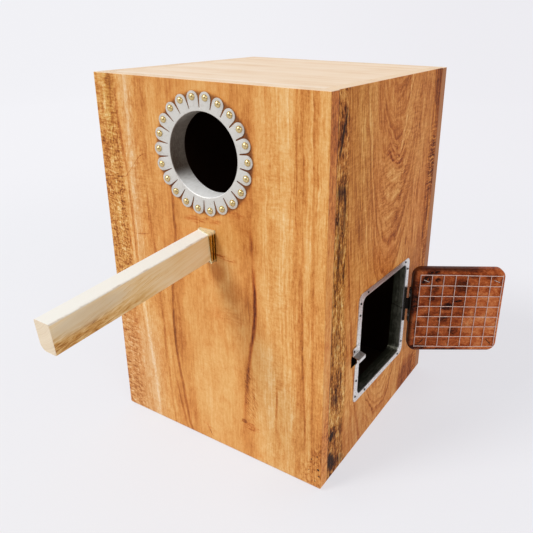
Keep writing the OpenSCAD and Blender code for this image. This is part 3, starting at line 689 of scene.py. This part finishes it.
nail_d, nail_h, arc_steps = 0.0095, 0.0036, 9
ball_r = (nail_d ** 2 / 4 + nail_h ** 2) / (2 * nail_h)
half_turn = math.acos((ball_r - nail_h) / ball_r)
profile = [(0, 0, 0), (nail_d / 2 - 0.0002, 0, 0)]
for step in range(arc_steps):
    angle = half_turn * (1 - step / arc_steps)
    height = nail_h - ball_r + ball_r * math.cos(angle)
    profile.append((ball_r * math.sin(angle), 0, height if step else 0.0001))
profile.append((0, 0, nail_h))
form = bmesh.new()
for nail in nail_places:
    head = bmesh.new()
    revolve(head, profile, 28)
    tilt = (Matrix.Rotation(random.uniform(-0.05, 0.05), 4, "X")
            @ Matrix.Rotation(random.uniform(-0.05, 0.05), 4, "Y"))
    squash = Matrix.Diagonal((1, random.uniform(0.95, 1.0), 1, 1))
    on_tab = Matrix.Translation(nail + Vector((0, 0, sheet)))
    bmesh.ops.transform(head, matrix=on_tab @ tilt @ squash, verts=head.verts)
    join(form, head)
deliver(form, at_entrance, "collar_nail_heads", gilt, "box", "collar_nails")

# ---------------------------------------------------------------- perch
# A bar of pale softwood, planed, with one lower edge worn round. Its grain runs along it and
# slopes out through its side; the sawn end shows the rings.
perch_x, perch_z, perch_length = 3.5, 337, 253.5
droop, lean = math.radians(5.25), math.radians(1.35)  # downwards and to the left as it runs out
softwood, shader, x, y, z = finish("perch_timber", Roughness=0.55, Specular_IOR_Level=0.3)
out = -(y + half_box)
rise = z - perch_z + out * math.tan(droop)
aside = x - perch_x + out * math.tan(lean)
wander = noise(out / 90, rise / 14, aside / 14, 3) - 0.5
slope = rise + (out - 120) * 0.10 + wander * 9
fibre = noise(out / 34, slope / 0.7, aside / 0.7, 4, 0.65)
streak = noise(out / 150, slope / 3.6, aside / 4, 4, 0.6)
cloud = noise(out / 50, rise / 20, 2.0, 3)
low_outer = out.step(70, 220) * (rise - (out - 200) * 0.03).step(9, -12) * aside.step(6, 11)
figure = noise(out / 16, slope / 2.6, 5.0, 4, 0.62, 0.8)
end_face = (out * 0.9955 - (x - perch_x) * 0.0235 - (z - perch_z) * 0.0915).step(
    perch_length - 0.7, perch_length - 0.2)
from_heart = ((aside + 30) ** 2 + (rise - 50) ** 2) ** 0.5
end_rings = noise(from_heart / 1.6, 0.2, 0.1, 2)
scraped = noise(out / 24, (rise + out * 0.22) / 1.5, 7.0, 3, 0.6, 0.5)
scrape = scraped.step(0.56, 0.68) * blot(out, rise, 160, 2, 95, 17) * aside.step(9, 12)
tone = (0.605 + streak.swing(0.46) + fibre.swing(0.34) + cloud.swing(0.44) - scrape * 0.22
        - low_outer * (0.29 + (figure - 0.45) * 1.4))
colour = tone.tint((0.0, 146, 88, 30), (0.22, 198, 142, 68), (0.42, 224, 184, 120),
                   (0.6, 236, 208, 160), (0.8, 242, 224, 190), (1.0, 248, 236, 214))
# The top face is painted near white, as the light that falls on it from above
colour = (rise.step(17.2, 19) * 0.93).mix(colour, rgb(244, 243, 236))
grey = blot(out, rise, 205, 6, 70, 15) * aside.step(6, 11) * 0.5
colour = grey.mix(colour, rgb(204, 188, 162))
colour = (end_face * 0.95).mix(colour, (0.55 + end_rings.swing(0.6) + fibre.swing(0.3)).tint(
    (0.2, 208, 182, 146), (0.6, 234, 216, 188), (1.0, 245, 233, 212)))
edge_dirt = ((rise.near(19, 1.1) + rise.near(-19, 1.6)) * aside.step(9, 12.2)
             * noise(out / 14, 0.5, 0.5, 3).step(0.4, 0.7))
colour = (edge_dirt * 0.6).clamp().mix(colour, rgb(176, 132, 80))
colour.coat(shader, 0.62 - tone * 0.14,
            fibre * 0.6 + streak * 0.4 + figure * low_outer * 0.4, 0.00022)
wear(softwood, "perch")

# ---------------------------------------------------------------- perch socket
# A sleeve folded from polished brass strip round the root of the perch, its front edge cut
# crooked, and dented where it was hammered into the mortise.
strip_brass, shader, x, y, z = finish("socket_brass", Metallic=1.0)
patina = noise(x / 5, y / 5, z / 9, 4, 0.65)
drawn = noise(x / 0.9, y / 0.9, z / 14, 3)
out = -(y + half_box) + noise(0.4, 0.2, z / 8, 2).swing(3)
tone = (0.5 + patina.swing(0.8) + drawn.swing(0.5) + out.near(8.2, 1.1) * 0.5
        - out.near(5.6, 1.3) * 0.5 + out.near(3.4, 0.8) * 0.35 - out.near(1.0, 1.2) * 0.6)
colour = tone.tint((0.0, 40, 28, 8), (0.25, 98, 74, 22), (0.5, 170, 138, 52),
                   (0.75, 222, 196, 108), (1.0, 250, 238, 184))
# The top and the bottom of the sleeve are painted pale cream as highlights
painted_top_highlight = (z - 352).step(0, 3)
painted_low_highlight = (317.5 - z).step(0, 2) * (drawn + 0.2)
colour = (painted_top_highlight * 0.75 + painted_low_highlight * 0.6).clamp().mix(colour, rgb(252, 240, 196))
colour.coat(shader, 0.18 + patina * 0.2 + painted_top_highlight * 0.3,
            drawn * 0.6 + patina * 0.4 - out.near(5.6, 1.6) * 0.8, 0.0004, 0.9)
(1.0 - painted_top_highlight * 0.7 - painted_low_highlight.clamp() * 0.4).into(shader, "Metallic")

inner_half, corner_r, skin, girth = Vector((0.0128, 0.0213)), 0.002, 0.0012, 0.13
sleeve_root, sleeve_reach = -0.019, 0.011  # how far out from the wall it starts and ends
cut_slope, sag, rows = math.tan(math.radians(18)), 0.002, 14
random.seed(5)
dents = [(random.uniform(0, 1), random.uniform(0.001, 0.009), random.uniform(0.0015, 0.004),
          random.uniform(-0.00022, 0.00012)) for _ in range(26)]


def rounded(half, radius, count, grow=0.0):
    """A rectangle of this half size with round corners of count points, grown outwards."""
    points = []
    for quarter, (right, up) in enumerate(((1, 1), (-1, 1), (-1, -1), (1, -1))):
        centre = Vector((right * (half.x - radius), up * (half.y - radius)))
        for step in range(count):
            angle = math.radians(90 * quarter + 90 * step / (count - 1))
            points.append((centre.x + (radius + grow) * math.cos(angle),
                           centre.y + (radius + grow) * math.sin(angle)))
    return points


def dented(turn, run):
    """How far the dents push the sleeve out at a part of a turn round it and a distance out."""
    if run <= 0.0005:
        return 0
    push = 0
    for at, along, reach, depth in dents:
        apart = abs(turn - at)
        apart = min(apart, 1 - apart) * girth
        push += depth * max(0.0, 1 - (apart ** 2 + (run - along) ** 2) / reach ** 2)
    return push


def band(form, low, high):
    """Closes the gap between two rings of vertices."""
    for n, vert in enumerate(low):
        after = (n + 1) % len(low)
        form.faces.new((vert, low[after], high[after], high[n]))


form = bmesh.new()
skins = []
for grow in (0.0, skin):
    corners = rounded(inner_half, corner_r, 7, grow)
    outline = []
    for first, second in zip(corners, corners[1:] + corners[:1]):
        parts = max(1, round(math.dist(first, second) / 0.002))
        outline += [[a + (b - a) * k / parts for a, b in zip(first, second)]
                    for k in range(parts)]
    skins.append([])
    for row in range(rows + 1):
        ring = []
        for k, (across, up) in enumerate(outline):
            mouth = sleeve_reach - (0.014 - across) * cut_slope
            run = sleeve_root + (mouth - sleeve_root) * (row / rows) ** 0.55
            swell = 1 + dented(k / len(outline), run) / 0.016
            ring.append(form.verts.new((across * swell, -run, up * swell - sag)))
        skins[-1].append(ring)
for rings in skins:
    for low, high in zip(rings, rings[1:]):
        band(form, low, high)
for row in (0, rows):
    bmesh.ops.bridge_loops(form, edges=[
        form.edges.get(pair) for rings in skins
        for pair in zip(rings[row], rings[row][1:] + rings[row][:1])])
at_perch = (on_front(perch_x, perch_z) @ Matrix.Rotation(-lean, 4, "Z")
            @ Matrix.Rotation(droop, 4, "X"))
deliver(form, at_perch, "socket_sleeve", strip_brass, "box", "perch_socket")

# ---------------------------------------------------------------- hatch liner, catch and hinge
# A strip of the same sheet lines the hatch; its edge is hammered flat on the side board as a
# flange. Inside it is dull and grey-green, painted dark as shade and darker deeper in; the pins'
# heads and the hinge's leaves are dark.
liner_zinc, shader, x, y, z = finish("liner_sheet", Metallic=0.9)
spangle = noise(x / 5, y / 5, z / 5, 4, 0.65)
grain = noise(x / 0.5, y / 0.5, z / 0.5, 2)
wipe = noise(x / 3, y / 16, z / 16, 3)
inside = (x - 187.4).step(0, -1.0)
dirt = noise(x / 2, y / 2.4, z / 2.4, 4, 0.7)
tone = 0.70 + spangle.swing(0.5) + grain.swing(0.16) - (dirt - 0.56).step(0, 0.1) * 0.5
colour = tone.tint((0.1, 104, 94, 84), (0.45, 200, 196, 190), (0.75, 240, 238, 236),
                   (1.0, 252, 251, 250))
upper_flange = (z - 256).step(0, 5) * y.near(-10, 96).step(0, 0.4) * x.step(187.4, 188)
colour = (upper_flange * 0.7).mix(colour, rgb(178, 146, 132))
# Inside the hatch the sheet is painted dark as shade, darker deeper in and lighter towards the
# flange
shaded_grey_green = (0.42 + wipe.swing(0.6) + spangle.swing(0.4) + (x - 168).step(0, 19) * 0.26).tint(
    (0.1, 34, 34, 26), (0.5, 80, 80, 66), (1.0, 176, 174, 158))
tongue = x.step(189.6, 190.6) * x.step(199.6, 198.2) * (0.75 + spangle.swing(1))
colour = tongue.clamp().mix(colour, rgb(112, 98, 90))
worn = ((dirt - 0.5).step(0, 0.12) * (z - 176).size().step(66, 80) * 0.5
        + (spangle - 0.54).step(0, 0.1) * 0.3)
colour = (worn * x.step(187.4, 188) * x.step(189.4, 189)).mix(colour, rgb(150, 122, 106))
colour = inside.mix(colour, shaded_grey_green)
colour.coat(shader, 0.36 + spangle.swing(0.2) + inside * 0.08,
            grain * 0.2 + spangle * 0.6 + dirt * 0.3, 0.00016, 0.8)
wear(liner_zinc, "hatch_liner", "catch_bracket")

iron, shader, x, y, z = finish("dark_iron", Metallic=0.7)
scale = noise(x / 1.6, y / 1.6, z / 1.6, 4, 0.7)
speck = noise(x / 0.5, y / 0.5, z / 0.5, 2)
tone = 0.5 + scale.swing(0.8) + speck.swing(0.3)
colour = tone.tint((0.1, 14, 10, 8), (0.5, 32, 25, 20), (1.0, 84, 74, 64))
colour.coat(shader, 0.42 + scale * 0.25, scale * 0.7 + speck * 0.3, 0.0001, 0.8)
wear(iron, "liner_pins", "catch_nail", "hinge_fixed_leaf", "hinge_door_leaf")

bright, shader, x, y, z = finish("bright_steel", Metallic=1.0)
scale = noise(x / 2, y / 2, z / 2, 4, 0.65)
colour = (0.6 + scale.swing(0.6)).tint((0.1, 120, 112, 106), (0.6, 196, 188, 182),
                                       (1.0, 232, 228, 224))
colour.coat(shader, 0.28 + scale * 0.2, scale, 0.00006, 0.6)
wear(bright, "hinge_pin", "leaf_screws")

# ---------------------------------------------------------------- hatch door
# A slab of a redder, figured hardwood with black knots, its corners and edges rounded. It stands
# open, and is drawn here in its own axes: from the hinge towards the free edge, and up.
hinge = frame["record"]["behaviour"]["joints"][0]
axis = Vector(hinge["axis"])
open_angle = math.radians(124)  # from shut to how it stands
at_door = (Matrix.Translation(hinge["pos_m"])
           @ Matrix.Rotation(-math.atan2(axis.y, axis.z), 4, "X")
           @ Matrix.Rotation(open_angle, 4, "Z"))
door_w, door_h, door_t, door_r, edge_r = 0.151, 0.1485, 0.016, 0.015, 0.0045
hinge_y, outer_x = -0.0075, 0.0017  # the door's hinge edge and outer face, seen from the pin
middle_y, inner_x = hinge_y - door_w / 2, outer_x - door_t

redwood, shader, x, y, z = finish("door_timber", Specular_IOR_Level=0.08)
from_pin = [part - at * 1000 for part, at in zip((x, y, z), at_door.translation)]
h, up, depth = [sum(part * share for part, share in zip(from_pin, at_door.to_3x3() @ Vector(way)))
                for way in ((0, -1, 0), (0, 0, 1), (-1, 0, 0))]
h, depth = h + hinge_y * 1000, depth + outer_x * 1000
wander = noise(h / 30, up / 22, depth / 20, 3) - 0.5
w = up + wander * 16
fibre = noise(h / 26, w / 0.9, depth / 0.9, 4, 0.65)
streak = noise(h / 34, w / 5, depth / 6, 5, 0.68)
cloud = noise(h / 15, up / 13, depth / 20, 5, 0.7, 0.8)
ink = noise(h / 4.6, up / 3.4, depth / 5, 5, 0.76, 0.8)
worm = noise(h / 9, up / 6, depth / 10, 4, 0.66, 2.4)
knots = blots(
    h, up, (1.1, 32, 68, 13, 6), (1.0, 21, 56, 10, 10, 0.5), (0.8, 40, 55, 6, 5),
    (0.6, 34, 40, 12, 9), (0.62, 80, 45, 17, 13), (1.0, 33, 22, 7, 4), (1.0, 5, 14, 10, 24),
    (1.0, 59, 8, 14, 8), (0.9, 78, 18, 8, 3, 1.0), (0.7, 55, -14, 11, 9), (0.75, 74, -36, 11, 9),
    (0.55, 27, -9, 9, 7), (1.15, 17, -69, 20, 8), (0.8, 60, -72, 38, 3.4), (0.6, 7, 44, 7, 12),
    (0.5, 96, 62, 12, 5), (0.5, 12, -30, 7, 16), (0.4, 44, -44, 14, 7), (0.5, 126, 60, 10, 4))
inner_face = depth.step(1.0, 9.0) * 0.75 + 0.25
soft_marks = (knots * (ink * 2.6 - 0.5)).clamp() * inner_face
knots = (knots * (ink * 7.0 - 2.9)).clamp() * inner_face
thread = (worm - 0.5).size().step(0.03, 0.008) * h.step(130, 80) * (ink * 5 - 1.9).clamp() * 0.9
rim_dark = (h.step(8.5, 1.5) * (0.55 + ink * 0.6) + (up - 73).step(-5, 0.5) * h.step(130, 80) * 0.8
            + (up + 73).step(4, -0.5) * 0.55)
tone = (0.53 + streak.swing(0.55) + fibre.swing(0.3) + cloud.swing(1.25) + ink.swing(0.9)
        - soft_marks * 0.34 + blots(h, up, (0.16, 122, -20, 46, 70), (-0.08, 60, 20, 56, 60)))
colour = tone.tint((0.0, 66, 20, 6), (0.25, 122, 48, 16), (0.45, 166, 78, 34),
                   (0.62, 196, 104, 54), (0.8, 216, 134, 80), (1.0, 236, 168, 112))
colour = rim_dark.clamp().mix(colour, rgb(50, 20, 10))
colour = (knots + thread).clamp().mix(colour, rgb(20, 8, 5))
colour.coat(shader, 0.40 + fibre.swing(0.2) + knots * 0.1,
            fibre * 0.4 + streak * 0.3 + cloud * 0.5 - knots * 0.4, 0.0003)

form = bmesh.new()
corners = rounded(Vector((door_w / 2, door_h / 2)), door_r, 13)
slab(form, [(inner_x, middle_y + across, up) for across, up in corners], (door_t, 0, 0))
ease(form, [part for part in form.faces if abs(part.normal.x) > 0.9][:1], edge_r, 6)
flats = [part for part in form.faces if abs(part.normal.x) > 0.99 and len(part.verts) > 20]
ease(form, [max(flats, key=lambda part: part.calc_center_median().x)], edge_r * 0.7, 6)
deliver(form, at_door, "door_slab", redwood, "door", "hatch_door", smooth=50)

# ---------------------------------------------------------------- mesh on the door
# Welded wire mesh, seven squares each way, cut from a roll and no longer quite flat. The upright
# wires lie next to the timber and the level ones over them.
wire, shader, x, y, z = finish("mesh_wire", Metallic=0.75)
tarnish = noise(x / 7, y / 7, z / 7, 4, 0.6)
colour = (0.6 + tarnish.swing(0.7)).tint((0.1, 150, 108, 94), (0.5, 214, 182, 170),
                                         (1.0, 244, 230, 222))
colour.coat(shader, 0.34 + tarnish * 0.2, tarnish, 0.00005, 0.6)


def rod(form, path, thick, sides=8):
    """A round wire along a path, closed at its ends."""
    path = [Vector(point) for point in path]
    rings = []
    for k, point in enumerate(path):
        ahead = (path[min(k + 1, len(path) - 1)] - path[max(k - 1, 0)]).normalized()
        level = ahead.cross(Vector((1, 0, 0)))
        if level.length < 0.1:
            level = ahead.cross(Vector((0, 0, 1)))
        level.normalize()
        other = ahead.cross(level)
        turns = [2 * math.pi * n / sides for n in range(sides)]
        rings.append([form.verts.new(
            point + (level * math.cos(turn) + other * math.sin(turn)) * thick / 2)
            for turn in turns])
    for low, high in zip(rings, rings[1:]):
        band(form, low, high)
    form.faces.new(rings[0])
    form.faces.new(rings[-1])


wire_d, pitch_y, pitch_z, cells = 0.0014, 0.0192, 0.0184, 7
mesh_w, mesh_h = pitch_y * cells, pitch_z * cells
mesh_y = middle_y - 0.0026
upright_x = inner_x - wire_d / 2 - 0.0008
level_x = upright_x - wire_d * 0.7
random.seed(9)
waves = {(way, k): (random.uniform(-0.0005, 0.0005), random.uniform(0, 6.3),
                    random.uniform(-0.0004, 0.0004))
         for way in ("upright", "level") for k in range(cells + 1)}


def bent(way, k, length):
    """Steps along a wire of the mesh, each with how far the wire strays there."""
    reach, phase, tilt = waves[way, k]
    for step in range(43):
        along = (length + wire_d) * (step / 42 - 0.5)
        yield along, reach * math.sin(along * 34 + phase) + tilt * along / mesh_w


form = bmesh.new()
for k in range(cells + 1):
    rod(form, [(upright_x, mesh_y + mesh_w / 2 - k * pitch_y + stray, along)
               for along, stray in bent("upright", k, mesh_h)], wire_d)
    rod(form, [(level_x, mesh_y + along, k * pitch_z - mesh_h / 2 + stray)
               for along, stray in bent("level", k, mesh_w)], wire_d)
deliver(form, at_door, "mesh_wires", wire, "door", "door_mesh", smooth=60)

# ---------------------------------------------------------------- staples on the mesh
# Wire staples, one driven over the mesh near each corner; the lower two are rusted dark and lean
# the other way.
staple_d, staple_w = 0.0012, 0.011
crown_x = level_x - wire_d / 2 - staple_d / 2 - 0.00002
half_w = (staple_w - staple_d) / 2
leg = [(inner_x - crown_x, half_w), (0.0012, half_w), (0.0004, half_w - 0.0002),
       (0.0, half_w - 0.0010)]
path = [(out, -aside, 0) for out, aside in leg] + [(out, aside, 0) for out, aside in leg[::-1]]
for name, high, material in (("staples_upper", 1, bright), ("staples_lower", -1, iron)):
    form = bmesh.new()
    for aside in (-1, 1):
        middle = Vector((crown_x, mesh_y + aside * (mesh_w - pitch_y) / 2,
                         high * (mesh_h - pitch_z) / 2))
        turn = Matrix.Rotation(math.radians(20 if high > 0 else -45 * aside), 3, "X")
        rod(form, [middle + turn @ Vector(point) for point in path], staple_d)
    deliver(form, at_door, name, material, "door", "mesh_staples", smooth=60)

# ---------------------------------------------------------------- studio
# A pale floor that curves up into a round wall, soft light from the upper left of the front, and
# even light from above. The wall behind the camera is darker, so that the metal has something to
# reflect. None of it belongs to the object.
wall_radius, bend_radius, wall_height = 5.0, 1.2, 3.0
pale, shader, x, y, z = finish("pale_floor", Roughness=0.9, Specular_IOR_Level=0.05,
                             Emission_Strength=1.0)
spread = (x * x + y * y) ** 0.5 / 1000
lit = spread.step(0.9, 1.9).larger((z / 1000).step(0.02, 0.3))
behind = ((x * 0.80 - y * 0.60) / 1000).step(1.5, 2.6)
to_right = ((x * 0.85 + y * 0.53) / 1000).step(-1.2, 1.8)
wall = to_right.mix((0.868, 0.866, 0.900, 1), (0.826, 0.818, 0.856, 1))
near = to_right.mix((0.618, 0.620, 0.650, 1), (0.585, 0.580, 0.616, 1))
lit.mix((0.25, 0.25, 0.25, 1), (0.02, 0.02, 0.02, 1)).into(shader, "Base Color")
lit.mix(near, behind.mix(wall, (0.22, 0.21, 0.21, 1))).into(shader, "Emission Color")

flat_radius = wall_radius - bend_radius
profile = [(0, 0, 0), (flat_radius, 0, 0)]
for step in range(1, 9):
    angle = math.radians(90 * step / 8)
    profile.append((flat_radius + bend_radius * math.sin(angle), 0,
                    bend_radius - bend_radius * math.cos(angle)))
form = bmesh.new()
revolve(form, profile + [(wall_radius, 0, wall_height)], 96)
solid(form, "studio_floor", pale, smooth=180)

box_middle = Vector((0, 0, 0.3))
key = bpy.data.lights.new("key_lamp", "SUN")
key.angle, key.energy = 0.34, 1.72
fill = bpy.data.lights.new("side_lamp", "AREA")
fill.shape, fill.size, fill.energy = "DISK", 1.8, 21
for light, position in ((key, Vector((-1.5, -2.0, 3.0))), (fill, Vector((2.6, -1.6, 1.6)))):
    holder = bpy.data.objects.new(light.name, light)
    holder.location = position
    holder.rotation_mode = "QUATERNION"
    holder.rotation_quaternion = (box_middle - position).to_track_quat("-Z", "Y")
    bpy.context.scene.collection.objects.link(holder)
world = bpy.data.worlds.new("studio_air")
world.use_nodes = True
air = world.node_tree.nodes["Background"]
air.inputs["Color"].default_value = (0.97, 0.98, 1.0, 1)
air.inputs["Strength"].default_value = 0.53
bpy.context.scene.world = world
bpy.context.scene.view_settings.view_transform = "Standard"

# The camera stands to the front right of the box and looks down on it
right = Vector((0.8487, 0.5288, 0.0081))
up = Vector((-0.2000, 0.3068, 0.9305))
camera = bpy.data.cameras.new("camera")
camera.lens = 39.48
camera.sensor_width = 36
camera.shift_x = -0.0590
camera.shift_y = -0.0441
camera.clip_end = 50
holder = bpy.data.objects.new("camera", camera)
holder.matrix_world = (Matrix.Translation((0.4939, -0.7486, 0.6273))
                       @ Matrix((right, up, right.cross(up))).transposed().to_4x4())
bpy.context.scene.collection.objects.link(holder)
bpy.context.scene.camera = holder
